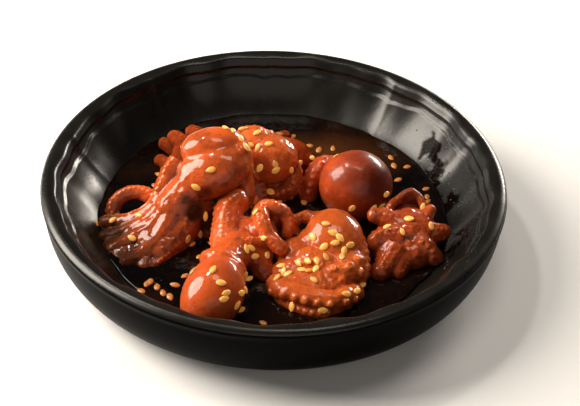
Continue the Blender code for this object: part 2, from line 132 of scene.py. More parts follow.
class Finish:
    def __init__(self, name):
        self.material = bpy.data.materials.new(name)
        self.material.use_nodes = True
        self.tree = self.material.node_tree
        self.shader = self.tree.nodes["Principled BSDF"]
        self.place = self.node("ShaderNodeTexCoord").out("Object")

    def node(self, kind, settings=None, inputs=None):
        made = self.tree.nodes.new(kind)
        for key, value in (settings or {}).items():
            setattr(made, key, value)
        for key, value in (inputs or {}).items():
            self.feed(made.inputs[key], value)
        return Wire(self, made.outputs[0])

    def feed(self, socket, value):
        if isinstance(value, Wire):
            self.tree.links.new(value.socket, socket)
        elif isinstance(value, tuple) and len(value) == 3 and socket.type == "RGBA":
            socket.default_value = (*value, 1.0)
        else:
            socket.default_value = value

    def noise(self, size, detail=3.0, roughness=0.55, offset=0.0):
        spot = self.place
        if offset:
            move = {0: self.place, 1: (offset, offset * 0.7, offset * 1.3)}
            spot = self.node("ShaderNodeVectorMath", {"operation": "ADD"}, move)
        inputs = {"Vector": spot, "Scale": 1 / size, "Detail": detail, "Roughness": roughness}
        return self.node("ShaderNodeTexNoise", {}, inputs)

    def attribute(self, name):
        return self.node("ShaderNodeAttribute", {"attribute_name": name}).out("Fac")

    def mix(self, share, first, second):
        # a colour mix has its factor at input 0, its colours at 6 and 7 and its result at output 2
        inputs = {0: share, 6: first, 7: second}
        return self.node("ShaderNodeMix", {"data_type": "RGBA"}, inputs).out(2)

    def bump(self, height, distance, strength=1.0, after=None):
        inputs = {"Height": height, "Distance": distance, "Strength": strength}
        if after:
            inputs["Normal"] = after
        return self.node("ShaderNodeBump", {}, inputs)

    def paint(self, **inputs):
        for name, value in inputs.items():
            self.feed(self.shader.inputs[name.replace("_", " ")], value)
        return self.material

    def veil(self, share, **inputs):
        # a second surface laid over the first where the share is 1
        settings = {name.replace("_", " "): value for name, value in inputs.items()}
        over = self.node("ShaderNodeBsdfPrincipled", {}, settings)
        below = Wire(self, self.shader.outputs[0])
        both = self.node("ShaderNodeMixShader", {}, {0: share, 1: below, 2: over})
        self.feed(self.tree.nodes["Material Output"].inputs["Surface"], both)
        return self.material


# mesh helpers
def addObject(name, mesh, material=None):
    piece = bpy.data.objects.new(name, mesh)
    bpy.context.scene.collection.objects.link(piece)
    if material:
        mesh.materials.append(material)
    return piece


def evaluatedMesh(piece):
    graph = bpy.context.evaluated_depsgraph_get()
    return bpy.data.meshes.new_from_object(piece.evaluated_get(graph))


def bakeModifiers(piece):
    old = piece.data
    mesh = evaluatedMesh(piece)
    piece.modifiers.clear()
    piece.data = mesh
    bpy.data.meshes.remove(old)


def meshFrom(bm, name):
    mesh = bpy.data.meshes.new(name)
    bm.to_mesh(mesh)
    bm.free()
    return mesh


def vertexArray(mesh, key="co"):
    values = np.empty(len(mesh.vertices) * 3)
    mesh.vertices.foreach_get(key, values)
    return values.reshape(-1, 3)


def edgeEnds(mesh):
    ends = np.empty(len(mesh.edges) * 2, dtype=np.int64)
    mesh.edges.foreach_get("vertices", ends)
    return ends.reshape(-1, 2).T


def setVertices(mesh, places):
    mesh.vertices.foreach_set("co", places.ravel())
    mesh.update()


def setMask(mesh, name, values):
    layer = mesh.attributes.new(name, "FLOAT", "POINT")
    layer.data.foreach_set("value", values.astype(np.float32))


def turned(name, profile, segments, reach):
    # rings of (radius, height, strength) points round the upright axis, closed at both ends
    rows = len(profile)
    angles = np.arange(segments) * math.tau / segments
    sway = reach(angles)
    places = []
    for radius, height, strength in profile:
        radii = radius - sway * strength
        heights = np.full(segments, height)
        places.append(np.stack([radii * np.cos(angles), radii * np.sin(angles), heights], 1))
    step = np.arange(segments)
    after = (step + 1) % segments
    faces = []
    for row in range(rows - 1):
        low, high = row * segments, (row + 1) * segments
        faces += np.stack([low + step, low + after, high + after, high + step], 1).tolist()
    faces.append(step[::-1].tolist())
    faces.append(((rows - 1) * segments + step).tolist())
    mesh = bpy.data.meshes.new(name)
    mesh.from_pydata(np.concatenate(places).tolist(), [], faces)
    mesh.shade_smooth()
    return mesh


def addBead(bm, place, outward, size, flatness, fine):
    # a flattened ball on a surface that faces outward
    spin = outward.to_track_quat("Z", "Y").to_matrix().to_4x4()
    matrix = Matrix.Translation(place) @ spin @ Matrix.Diagonal((size, size, size * flatness, 1))
    bmesh.ops.create_icosphere(bm, subdivisions=fine, radius=1.0, matrix=matrix)


def treeOf(pieces):
    places = []
    faces = []
    for piece in pieces:
        start = len(places)
        places += vertexArray(piece.data).tolist()
        faces += [[start + corner for corner in face.vertices] for face in piece.data.polygons]
    return BVHTree.FromPolygons(places, faces)


# dish
dishPlan = {
    "rimRadius": 0.080,
    "rimHeight": 0.026,
    "edgeDrop": 0.0016,
    "lipWidth": 0.0054,
    "lipStep": 0.0017,
    "floorHeight": 0.005,
    "floorRadius": 0.050,
    "cornerRadius": 0.064,
    "footRadius": 0.054,
    "footWidth": 0.004,
    "footRecess": 0.0016,
    "footBevel": 0.0006,
    "bellyRadius": 0.0613,
    "bellyPower": 2.48,
    "bellyRows": 25,
    "bellySpread": 1.6,
    "bellyInset": 0.0006,
    "wallInset": 0.0013,
    "wallDrop": 0.0032,
    "wallSag": 0.0006,
    "ridgeDegrees": (21, 54, 95, 130, 166, 205, 245, 285, 325),
    "ridgeDepth": 0.0011,
    "rippleDepth": 0.00030,
    "segments": 540,
    "wallRows": 88,
    "wallSteps": 400,
    "grooveShare": 0.095,
    "grooveSway": 0.026,
    "grooveWidth": 0.014,
    "grooveFade": 0.03,
    "grooveDepth": 0.00060,
    "grooveCatch": 0.0022,
    "grooveTop": 0.0030,
    "smearDepth": 0.00004,
    "smearGrain": 0.004,
    "smearReach": 1.3,
    "smearEdge": 0.8,
    "smearSharpness": 4,
    "smears": ((430, 148, 6.5, 2.0), (438, 172, 6.0, 5.0), (448, 205, 5.5, 9.0), (462, 235, 5.0, 4.0),
               (452, 252, 4.5, 7.0), (118, 232, 4.0, 3.0)),
    "glazeDark": (0.0042, 0.0036, 0.0026),
    "glazeLight": (0.0078, 0.0068, 0.0050),
    "smearColour": (0.0036, 0.0017, 0.0008),
    "outerColour": (0.0008, 0.0007, 0.0005),
    "outerDrop": 0.0012,
}


def ridgeShare(degrees):
    # 0 on a ridge of the wall, 1 midway to the next
    stops = np.array(dishPlan["ridgeDegrees"])
    stops = np.concatenate([[stops[-1] - 360], stops, [stops[0] + 360]])
    place = np.searchsorted(stops, degrees, side="right") - 1
    share = (degrees - stops[place]) / (stops[place + 1] - stops[place])
    return 4 * share * (1 - share)


def dishSway(angles):
    # how far the lobed wall stands inside its circle
    ridge = dishPlan["ridgeDepth"] * (1 - ridgeShare(np.degrees(angles) % 360)) ** 2
    ripple = np.sin(17 * angles) + np.sin(29 * angles + 1.3)
    return ridge + dishPlan["rippleDepth"] * ripple


def wallPoint(share):
    # radius and height on the inner wall, from the lip at 0 to the floor at 1
    plan = dishPlan
    lip = plan["rimRadius"] - plan["lipWidth"]
    top = np.array([lip - plan["wallInset"], plan["rimHeight"] - plan["wallDrop"]])
    corner = np.array([plan["cornerRadius"], plan["floorHeight"] - plan["wallSag"]])
    foot = np.array([plan["floorRadius"], plan["floorHeight"]])
    return top * (1 - share) ** 2 + corner * 2 * share * (1 - share) + foot * share**2


def rounded(corners):
    # soften a run of profile points by cutting its corners twice
    points = [np.array(corner, dtype=float) for corner in corners]
    for _ in range(2):
        softer = [points[0]]
        for first, second in zip(points, points[1:]):
            softer += [first * 0.75 + second * 0.25, first * 0.25 + second * 0.75]
        points = softer + [points[-1]]
    return [tuple(point) for point in points]


def dishProfile(plan):
    # the whole section, from the foot round the outside and over the rim to the floor
    inner = plan["footRadius"] - plan["footWidth"]
    bevel = plan["footBevel"]
    foot = [(inner - 0.002, plan["footRecess"], 0), (inner - bevel, 0.0004, 0), (inner, 0.0, 0)]
    foot += [(plan["footRadius"] - bevel, 0.0, 0), (plan["footRadius"], 0.0, 0)]
    edge = plan["rimHeight"] - plan["edgeDrop"]
    reach = plan["rimRadius"] - plan["bellyInset"] - plan["bellyRadius"]
    belly = []
    for step in range(1, plan["bellyRows"]):
        share = (step / plan["bellyRows"]) ** plan["bellySpread"]
        bulge = (1 - (1 - share) ** plan["bellyPower"]) ** (1 / plan["bellyPower"])
        belly.append((plan["bellyRadius"] + reach * bulge, edge * share, 0))
    lip = plan["rimRadius"] - plan["lipWidth"]
    top = plan["rimHeight"]
    rim = rounded([
        (plan["rimRadius"] - 0.0002, edge - 0.0010, 0),
        (plan["rimRadius"], edge - 0.0004, 0),
        (plan["rimRadius"] - 0.0003, top - 0.0011, 0),
        (plan["rimRadius"] - 0.0011, top - 0.0004, 0),
        (plan["rimRadius"] - 0.0022, top, 0),
        (plan["rimRadius"] - 0.0032, top - 0.0001, 0.2),
        (lip + 0.0008, top - 0.0005, 0.8),
        (lip, top - 0.0010, 1),
        (lip - 0.0009, top - 0.0010 - plan["lipStep"], 1),
        (*wallPoint(0.01), 0.97),
    ])
    rows = plan["wallRows"]
    wall = [(*wallPoint(step / rows), 1 - step / rows) for step in range(2, rows + 1)]
    return foot + belly + rim + wall


def cutGroove(mesh, plan):
    # a shallow groove below the lip, with a wavy lower edge that catches the light
    places = vertexArray(mesh)
    reach = np.hypot(places[:, 0], places[:, 1])
    angle = np.arctan2(places[:, 1], places[:, 0])
    steps = plan["wallSteps"]
    line = np.array([wallPoint(step / steps) for step in range(steps + 1)])
    gap = np.abs(line[None, :, 1] - places[:, 2][:, None]) + np.abs(line[None, :, 0] - reach[:, None])
    share = gap.argmin(1) / steps
    onWall = (gap.min(1) < plan["grooveCatch"]) & (places[:, 2] < plan["rimHeight"] - plan["grooveTop"])
    ridges = 1 - ridgeShare(np.degrees(angle) % 360)
    waves = np.sin(13 * angle + 0.7) + 0.6 * np.sin(31 * angle) + 0.5 * np.sin(53 * angle + 2.0)
    edge = plan["grooveShare"] + plan["grooveSway"] * (0.30 * waves + ridges)
    rise = np.clip((edge - share) / plan["grooveWidth"] + 0.5, 0, 1)
    rise = rise * rise * (3 - 2 * rise) * np.clip(share / plan["grooveFade"], 0, 1)
    outward = np.where(onWall, rise * plan["grooveDepth"], 0)
    places[:, 0] += np.cos(angle) * outward
    places[:, 1] += np.sin(angle) * outward
    setVertices(mesh, places)


def smearWall(dish, plan):
    # thin patches of sauce and oil on the inner wall, raised a little and marked for the finish
    places = vertexArray(dish.data)
    reach = np.hypot(places[:, 0], places[:, 1])
    tree = treeOf([dish])
    mark = np.zeros(len(places))
    for x, y, size, seed in plan["smears"]:
        centre, _normal = seenAt(tree, x, y)
        gap = np.linalg.norm(places - np.array(centre), axis=1) / (size * mm)
        near = np.nonzero(gap < plan["smearReach"])[0]
        spots = (places[near] / plan["smearGrain"] + seed).tolist()
        grain = np.array([noise.fractal(spot, 0.8, 2.0, 2) for spot in spots])
        inside = (plan["smearEdge"] - gap[near] + grain * 0.8) * plan["smearSharpness"]
        mark[near] = np.maximum(mark[near], np.clip(inside, 0, 1))
    inward = mark * plan["smearDepth"] / reach
    places[:, :2] -= places[:, :2] * inward[:, None]
    setVertices(dish.data, places)
    setMask(dish.data, "smear", mark)


def outerGlaze():
    finish = Finish("outerGlaze")
    grain = finish.noise(0.0006, 2.0)
    pits = finish.bump(grain, 0.00004, 0.4)
    return finish.paint(Base_Color=dishPlan["outerColour"], Roughness=0.34 + grain * 0.08, Normal=pits,
                        Specular_IOR_Level=0.025)


def dishGlaze():
    finish = Finish("blackGlaze")
    grain = finish.noise(0.0006, 2.0)
    cloud = finish.noise(0.012, 3.0)
    roughness = 0.20 + cloud * 0.12 + grain * 0.05
    colour = finish.mix(cloud.between(0.35, 0.75), dishPlan["glazeDark"], dishPlan["glazeLight"])
    pits = finish.bump(grain, 0.00004, 0.5)
    swell = finish.bump(finish.noise(0.006, 2.0, offset=0.4), 0.00025, 0.35, pits)
    finish.paint(Base_Color=colour, Roughness=roughness, Normal=swell, Specular_IOR_Level=0.42)
    film = finish.bump(finish.noise(0.0024, 2.0, offset=0.9), 0.0005, 0.5, swell)
    return finish.veil(finish.attribute("smear"), Base_Color=dishPlan["smearColour"], Roughness=0.12,
                       Normal=film, Specular_IOR_Level=0.025)


dishShell = addObject("dishShell", turned("dishShell", dishProfile(dishPlan), dishPlan["segments"], dishSway))
cutGroove(dishShell.data, dishPlan)
smearWall(dishShell, dishPlan)
dishShell.data.materials.append(dishGlaze())
dishShell.data.materials.append(outerGlaze())
for face in dishShell.data.polygons:
    outward = face.center.x * face.normal.x + face.center.y * face.normal.y
    face.material_index = int(outward > 0 and face.center.z < dishPlan["rimHeight"] - dishPlan["outerDrop"])
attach(dishShell, "root")
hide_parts("dish")
print("dish turned")


# octopuses, in millimetres: lumps are ellipsoids (centre, radii and turn, if any) and limbs tapering
# arms (points, root, tip); a limb with suckers also has the side that they face and their size
# shadeAndDarkSkin lists the places painted darker (pixel of the photo, reach, strength), mostly painted
# shade in hollows and under overhangs and partly skin that is darker in itself; smooth those with smooth skin
# warm is brighter or darker from one octopus to the next, partly their own colour and partly painted light
# and shade
octopusPlans = {
    "octopusFront": {
        "node": "octopus_front",
        "warm": (0.58, 0.094, 0.018), "deep": (0.2, 0.024, 0.005),
        "rough": 0.65, "gloss": 0.85, "blur": 0.06, "haze": 0.05,
        "lumps": [
            ((-18, -51, 15), (10, 13.5, 9.8), (20, 0, -22)),
            ((-15.5, -39, 17), (8.3, 4.2, 6.9), (20, 0, -22)),
            ((-11, -27, 14), (7.4, 7, 6), (0, 0, -20)),
            ((-9.5, -18, 14.6), (8, 5.8, 4.5), (0, 0, -10)),
            ((-3.5, -20, 16), (5.5, 4.5, 4)),
            ((-5.5, -26, 12), (6.5, 6, 4.5)),
            ((1.9, -14.8, 17), (3.6, 2.4, 4.6)),
        ],
        "limbs": [
            ([(-17.5, -46.5, 15), (-15, -37.5, 15.5), (-12.5, -29.5, 14.5), (-10, -21.5, 13)], 7.5, 5.5),
            ([(-14.5, -31, 12.5), (-15.2, -24, 14), (-15.3, -16.5, 16.2), (-14.9, -11.5, 18.2),
              (-13.2, -8.6, 19.6)], 5.6, 4.9, (-0.7, -0.5, 0.5), 0.7),
            ([(-17.5, -28.6, 17.5), (-11.2, -28.2, 18.3), (-6.5, -27.7, 18),
              (-2.6, -25.9, 16.5)], 1.9, 1.8, (0, -0.5, 0.9), 0.55),
            ([(-5.4, -15.5, 16.5), (-3.8, -13.3, 20.6), (-0.1, -13.9, 22), (3.7, -15, 20.8),
              (5.2, -17.2, 18.3), (5, -18.9, 15.5)], 2.7, 2.3, (0.4, 0.3, 0.9), 0.6),
            ([(-4.2, -16.5, 21.6), (-3.6, -19.5, 22), (-2.6, -22.8, 20.6), (-0.3, -26, 18.3),
              (3.2, -28.2, 16)], 2.9, 2.5, (-0.9, -0.2, 0.3), 0.55),
            ([(-7, -27, 13), (-4, -29.5, 11), (-1.5, -33, 8.5)], 5.0, 3.6),
            ([(-8, -20, 14), (-4, -14, 11), (-2, -7, 8.5), (-5, -1, 7.5)], 4.0, 2.4),
            ([(-12, -20, 14), (-16, -13, 11), (-18, -6, 8.5)], 4.0, 2.6),
        ],
        "shadeAndDarkSkin": [(283, 215, 2.6, 1.0), (281, 225, 2.6, 1.0), (258, 268, 5, 0.7), (250, 276, 4, 0.8),
                 (240, 222, 3.5, 0.3), (246, 262, 5, 0.5), (262, 272, 6, 0.7), (254, 288, 5, 0.7)],
        "smooth": [((-18, -52, 15), 12.5)],
    },
    "octopusWide": {
        "node": "octopus_wide",
        "warm": (0.54, 0.098, 0.016), "deep": (0.27, 0.034, 0.005),
        "rough": 0.75, "gloss": 0.8, "blur": 0.06, "haze": 0.05,
        "lumps": [
            ((21, -22, 14), (10.5, 12.5, 8.2), (25, 0, 10)),
            ((16, -37, 9), (14, 10, 6), (0, 0, 10)),
            ((24.5, -30, 11), (7.5, 9.5, 6.5)),
            ((9.5, -26, 10.5), (8, 8, 6.2)),
            ((9, -33.5, 9.5), (9, 7, 5)),
            ((16.5, -31, 12.5), (10, 7, 5), (10, 0, 0)),
            ((14.5, -21.5, 12.6), (6.6, 6.6, 6.4)),
        ],
        "limbs": [
            ([(25, -13.5, 15.5), (19.4, -12, 16.2), (14.6, -11.7, 16), (11.5, -11.6, 16)], 3.6, 2.2),
            ([(14, -11.4, 16), (10.7, -11.2, 16.6), (7.9, -12.5, 15.4), (7.1, -14, 13.6), (8.5, -15.8, 11.8),
              (11.2, -16.2, 11.5), (13.5, -15.2, 12.6)], 2.1, 1.7, (-0.5, -0.6, 0.2), 0.6),
            ([(13, -33, 10.5), (17.1, -34.5, 12), (21.3, -36.6, 12.8), (25.6, -35.8, 13),
              (29, -31, 12)], 3.6, 4.0, (0.1, -0.75, 0.65), 1.5),
            ([(1.9, -37.5, 9), (4.7, -43, 10.3), (9.3, -45.3, 11), (15.9, -47.5, 11), (22.3, -47, 10.8),
              (27.4, -41.6, 9.5)], 4.0, 3.6, (0, -0.9, -0.1), 1.3),
            ([(1.7, -39.8, 7.5), (6.2, -46, 7.5), (11.8, -49.2, 7.5), (18.3, -49.6, 7.5),
              (24.8, -45.6, 7.5)], 3.1, 3.1, (0, -1, 0.2), 0.75),
            ([(26, -14.5, 14), (29, -21, 14), (30.2, -27, 13), (30, -34, 11)], 2.8, 2.8, (1, 0, 0.2), 1.0),
        ],
        "shadeAndDarkSkin": [(299, 218, 3.2, 0.8), (310, 211, 3.5, 0.8), (321, 210, 3.5, 0.6), (299, 232, 3.0, 0.7),
                 (362, 250, 4, 0.3), (300, 262, 4, 0.25)],
        "smooth": [((21, -20, 15), 9.0)],
    },
    "octopusTall": {
        "node": "octopus_tall",
        "warm": (0.62, 0.1, 0.02), "deep": (0.05, 0.014, 0.005),
        "rough": 0.55, "gloss": 1.0, "blur": 0.085, "haze": 0.02,
        "lumps": [
            ((-21, 6, 31), (12, 8.4, 7.3), (0, 0, 12)),
            ((-21, -2.2, 27.2), (13, 9.2, 7.3), (27, -18, 12)),
            ((-22, -0.8, 25.4), (11.6, 8, 8.4), (0, 0, 12)),
            ((-12, 3.5, 27), (4.5, 6.5, 9)),
            ((-36.5, -12, 9.6), (14, 11, 6), (0, 0, 40)),
            ((-31, -7.5, 15), (10, 9, 9)),
            ((-47, -17, 7), (11.2, 13.5, 3.7), (0, 0, 25)),
        ],
        "limbs": [
            ([(-25.5, -2.5, 23), (-30, -6, 20), (-33.5, -9, 16)], 7.0, 7.5),
            ([(-33, -8.5, 14.5), (-39.5, -12.5, 10.5), (-47, -16, 7.5)], 7.5, 5.4),
            ([(-30, -11, 13), (-33.5, -17.5, 9.5), (-38, -23.5, 7.5)], 7.0, 5.0),
            ([(-28, -7, 16), (-23.5, -9.5, 11), (-22, -12, 8.5)], 6.0, 4.0),
            ([(-11, 1.5, 23), (-9.5, -2.5, 20), (-9.5, -5, 17)], 3.6, 2.6),
            ([(-33.5, 4, 27), (-36, 1, 24), (-37.5, -2, 21), (-39.5, -5, 17)], 3.6, 3.2, (-0.8, 0, 0.5), 0.7),
            ([(-37.5, -6, 17.5), (-42, -8, 13.2), (-49.5, -10, 10),
              (-58, -8.5, 8)], 4.2, 2.9, (-0.3, 0.7, 0.6), 0.5),
            ([(-36.5, -7.5, 17.5), (-42, -11.8, 12.8), (-50.5, -15, 9.2), (-57.5, -15.5, 7.5)], 3.8, 2.6),
            ([(-35.5, -9, 17.2), (-41, -15.5, 12.2), (-48.5, -19.2, 9), (-54, -21.8, 7.5)], 4.2, 2.8),
            ([(-33, -11.5, 17), (-38, -19, 11.4), (-43.5, -25.4, 8.6), (-48.5, -28.6, 7.5)], 4.4, 2.8),
            ([(-34, -7.5, 17), (-35.8, -10.5, 14.8), (-38.6, -16.4, 12), (-40.6, -23.5, 9),
              (-42.5, -29.5, 7.2)], 3.6, 2.6),
            ([(-30.5, -12, 16), (-32.2, -17, 10.8), (-35.5, -23.5, 8.2),
              (-40, -29, 7)], 4.6, 2.7, (0.6, -0.5, 0.2), 0.6),
            ([(-28, -8.5, 15), (-27, -12, 10), (-29.5, -15.5, 8)], 5.0, 3.2),
            ([(-26, -4, 15), (-22.5, -5, 10), (-20, -8, 8)], 5.0, 2.9),
            ([(-40, -5, 12.5), (-42.5, -1.8, 14.5), (-46.8, -0.2, 15.5), (-51.3, -0.4, 15), (-54.6, -2, 13),
              (-56, -4.5, 10), (-55, -7.2, 7.8)], 2.7, 2.5, (-0.4, 0.4, 0.9), 0.55),
        ],
        "shadeAndDarkSkin": [(195, 212, 6, 1.1), (207, 222, 6, 1.1), (200, 236, 6, 0.8), (184, 236, 4, 0.3),
                 (108, 236, 10, 1.1), (105, 219, 8, 0.9), (124, 258, 10, 1.0), (148, 264, 7, 0.8),
                 (230, 190, 4.5, 0.4), (205, 194, 4, 0.7), (125, 195, 4, 0.5), (186, 200, 3, 0.9),
                 (148, 240, 15, 0.5), (176, 226, 12, 0.5), (130, 250, 9, 0.6), (120, 230, 10, 0.5)],
        "smooth": [((-21, 3, 29), 12)],
    },
    "octopusRound": {
        "node": "octopus_round",
        "warm": (0.56, 0.078, 0.014), "deep": (0.09, 0.01, 0.004),
        "rough": 0.15, "gloss": 0.6, "blur": 0.13, "haze": 0.2,
        "lumps": [
            ((28.5, 6.5, 16.9), (13, 12.4, 12.4)),
        ],
        "limbs": [
            ([(18.5, 21, 15), (15.6, 16.5, 16), (13.2, 12.8, 13.5),
              (12, 9.8, 8.5)], 3.7, 3.4, (-0.6, -0.6, 0.5), 0.85),
            ([(25, 14, 15), (20.5, 19.5, 15.5), (18, 22, 13)], 4.4, 3.2),
            ([(36, 2, 11), (40, -1, 9.5), (43, -5, 8.5)], 4.0, 2.6),
            ([(29, 15, 12), (27, 26, 9), (31, 33, 8)], 5.0, 2.8, (0, 0.5, 0.9), 0.7),
        ],
        "shadeAndDarkSkin": [(382, 184, 13, 0.95), (360, 156, 8, 0.7), (392, 170, 7, 0.8), (358, 178, 8, 0.5),
                 (312, 190, 4, 0.5)],
        "smooth": [],
    },
    "octopusStar": {
        "node": "octopus_star",
        "warm": (0.39, 0.06, 0.011), "deep": (0.11, 0.014, 0.004),
        "rough": 0.7, "gloss": 0.8, "blur": 0.06, "haze": 0.05,
        "lumps": [
            ((47, -13.5, 12.2), (10, 9.5, 6.4), (25, 0, 0)),
            ((47, -14.5, 14.3), (6, 6, 4.4)),
            ((46, -18.5, 9.8), (10.5, 9.5, 6)),
            ((40.5, -21, 10), (6.5, 7.5, 6)),
            ((46.9, -0.6, 15.4), (5, 2, 4.6)),
            ((46.5, -5, 12), (6, 6, 4.2)),
        ],
        "limbs": [
            ([(42, -11.5, 15), (37.4, -10, 16.3), (34.6, -10.2, 17)], 4.1, 2.5, (-0.2, 0.2, 0.9), 0.7),
            ([(43, -17.5, 13.5), (37.9, -19, 14.2), (34.8, -20.8, 14)], 4.8, 3.2, (-0.7, 0.1, 0.7), 0.75),
            ([(42, -22, 12), (40, -25.8, 10.5), (36.8, -30.6, 9)], 5.2, 3.7, (-0.7, -0.5, 0.3), 0.75),
            ([(46.5, -20, 12.5), (45, -25, 10.8), (42.6, -30, 9)], 3.8, 2.7, (0.6, -0.6, 0), 0.6),
            ([(49, -18, 12.5), (52, -20.5, 11.5), (54.6, -22.7, 10)], 5.2, 3.5, (0.1, -0.9, 0.2), 0.75),
            ([(51, -14, 13), (55.2, -13.3, 13), (58.4, -12.2, 12.5)], 4.8, 3.0, (0.5, -0.8, 0.4), 0.65),
            ([(50.5, -10.5, 14.5), (52.6, -8.6, 16.5), (54, -7.2, 18)], 3.6, 2.1),
            ([(39.5, -9, 15), (40.3, -5, 17), (43, -2, 18), (47.1, 0.6, 19.3), (50.6, -1.4, 18.3),
              (52, -4.5, 16.5)], 1.6, 1.4),
        ],
        "shadeAndDarkSkin": [(411, 198, 3.8, 1.1), (430, 258, 5, 0.5), (385, 278, 5, 0.5), (405, 270, 4, 0.5),
                 (398, 208, 3, 0.5)],
        "smooth": [],
    },
    "octopusBack": {
        "node": "octopus_back",
        "warm": (0.66, 0.118, 0.02), "deep": (0.15, 0.02, 0.005),
        "rough": 0.7, "gloss": 0.9, "blur": 0.06, "haze": 0.05,
        "lumps": [
            ((-1.5, 15.5, 20.5), (9.5, 9, 8.5)),
            ((-7.5, 18.5, 22), (8, 7.5, 7.5)),
            ((2, 18, 21), (5, 5, 6)),
        ],
        "limbs": [
            ([(-12.5, 22, 24), (-7.5, 25, 23.5), (-2.5, 24, 21.5)], 4.0, 3.5, (0, 0.3, 0.9), 0.6),
            ([(3.5, 17, 18.5), (6, 14, 14.5), (5, 11, 11), (0, 9.5, 8.5)], 4.4, 3.4, (0.6, -0.7, 0.3), 0.8),
            ([(-8.5, 13, 16), (-6.5, 10.5, 11.5), (-5.5, 7, 8.5)], 4.4, 3.2, (0.3, -0.9, 0.3), 0.8),
            ([(-5, 16, 16), (0, 14, 12), (2, 12.5, 9)], 5.5, 3.6),
            ([(-8, 20, 16), (-10, 22, 11), (-12, 22, 8.5)], 5.5, 3.6),
        ],
        "shadeAndDarkSkin": [(286, 192, 5, 0.4), (268, 195, 6, 0.4), (298, 165, 5, 0.5)],
        "smooth": [],
    },
    "octopusHidden": {
        "node": "octopus_hidden",
        "warm": (0.29, 0.043, 0.009), "deep": (0.14, 0.015, 0.004),
        "rough": 0.6, "gloss": 0.0, "blur": 0.1, "haze": 0.0,
        "lumps": [
            ((3, 31, 10.5), (11.5, 8, 6.4), (0, 0, -20)),
        ],
        "limbs": [
            ([(8, 27, 11), (12.5, 27, 9.5), (13, 23, 8)], 4.6, 3.0),
            ([(0, 33, 11), (-4, 36.5, 12), (-9, 38, 11), (-12, 36, 8.5)], 4.6, 3.0, (0, 0.5, 0.9), 0.7),
            ([(3, 34, 10), (-1, 41, 9), (3, 46, 8)], 4.2, 2.6, (0, 0, 1), 0.6),
        ],
        "shadeAndDarkSkin": [(300, 155, 5, 0.7)],
        "smooth": [],
    },
    "octopusFar": {
        "node": "octopus_far",
        "warm": (0.25, 0.038, 0.009), "deep": (0.08, 0.012, 0.004),
        "rough": 0.9, "gloss": 0.0, "blur": 0.1, "haze": 0.0,
        "lumps": [
            ((-29, 26, 12.5), (9, 8.5, 7)),
        ],
        "limbs": [
            ([(-29, 26.5, 14), (-33.5, 28.5, 16), (-37.5, 32, 16.5)], 4.0, 2.8, (0, 0.6, 0.8), 0.6),
            ([(-32, 26, 10), (-37.5, 31.5, 11), (-41.5, 35.5, 11)], 3.4, 2.4),
            ([(-25.5, 28, 14), (-28.5, 32.5, 16), (-31, 35.5, 16.5)], 4.0, 2.8, (0, 0.6, 0.8), 0.6),
            ([(-32, 22, 10), (-38, 23, 10), (-42, 27, 9)], 3.6, 2.5),
            ([(-25, 30, 10), (-22, 38, 9), (-25, 44, 8)], 3.8, 2.4, (0, 0, 1), 0.6),
        ],
        "shadeAndDarkSkin": [(168, 150, 4, 0.5), (182, 150, 5, 0.6)],
        "smooth": [],
    },
}

# what all octopuses share: wrinkles are size, depth and offset; sucker sizes are shares of a sucker
fleshPlan = {
    "largeLump": 8,
    "voxel": 0.00034,
    "smoothSteps": 7,
    "wrinkles": ((0.0050, 0.00050, 3.1), (0.0021, 0.00030, 7.7), (0.0010, 0.00012, 1.3)),
    "suckerSpacing": 2.2,
    "suckerStagger": 0.62,
    "suckerSpread": 32,
    "suckerLift": 0.98,
    "suckerFlatness": 0.8,
    "suckerReach": 2.2,
    "pitRadius": 0.5,
    "pitDepth": 0.16,
    "fullArm": 3.2,
    "softSteps": 16,
    "softEdge": 0.8,
    "softFade": 0.4,
    "hollowSteps": 14,
    "hollowDepth": 0.00028,
    "shadeAndDarkSkinReach": 1.35,
    "coatBend": 1.42,
    "scatter": 0.22,
    "scatterReach": 0.0022,
}


def limbLine(points, root, tip, steps=8):
    # a smooth line through the points, with the arm's radius at each step
    spots = [Vector(point) * mm for point in points]
    ends = [2 * spots[0] - spots[1], *spots, 2 * spots[-1] - spots[-2]]
    line = []
    for index in range(len(spots) - 1):
        a, b, c, d = ends[index:index + 4]
        for step in range(steps):
            t = step / steps
            place = 0.5 * (2 * b + (c - a) * t + (2 * a - 5 * b + 4 * c - d) * t * t
                           + (3 * b - a - 3 * c + d) * t ** 3)
            line.append((place, (root + (tip - root) * (index + t) / (len(spots) - 1)) * mm))
    line.append((spots[-1], tip * mm))
    return line


def addBall(bm, centre, radii, fine=3, turn=(0, 0, 0)):
    place = Matrix.LocRotScale(centre, Euler([math.radians(angle) for angle in turn]), radii)
    bmesh.ops.create_icosphere(bm, subdivisions=fine, radius=1.0, matrix=place)


def limbTubes(name, lines):
    curve = bpy.data.curves.new(name, "CURVE")
    curve.dimensions = "3D"
    curve.bevel_depth = 1.0
    curve.bevel_resolution = 4
    curve.use_fill_caps = True
    for line in lines:
        spline = curve.splines.new("POLY")
        spline.points.add(len(line) - 1)
        for point, (place, radius) in zip(spline.points, line):
            point.co = (*place, 1.0)
            point.radius = radius
    guide = addObject(name, curve)
    mesh = evaluatedMesh(guide)
    bpy.data.objects.remove(guide)
    return mesh


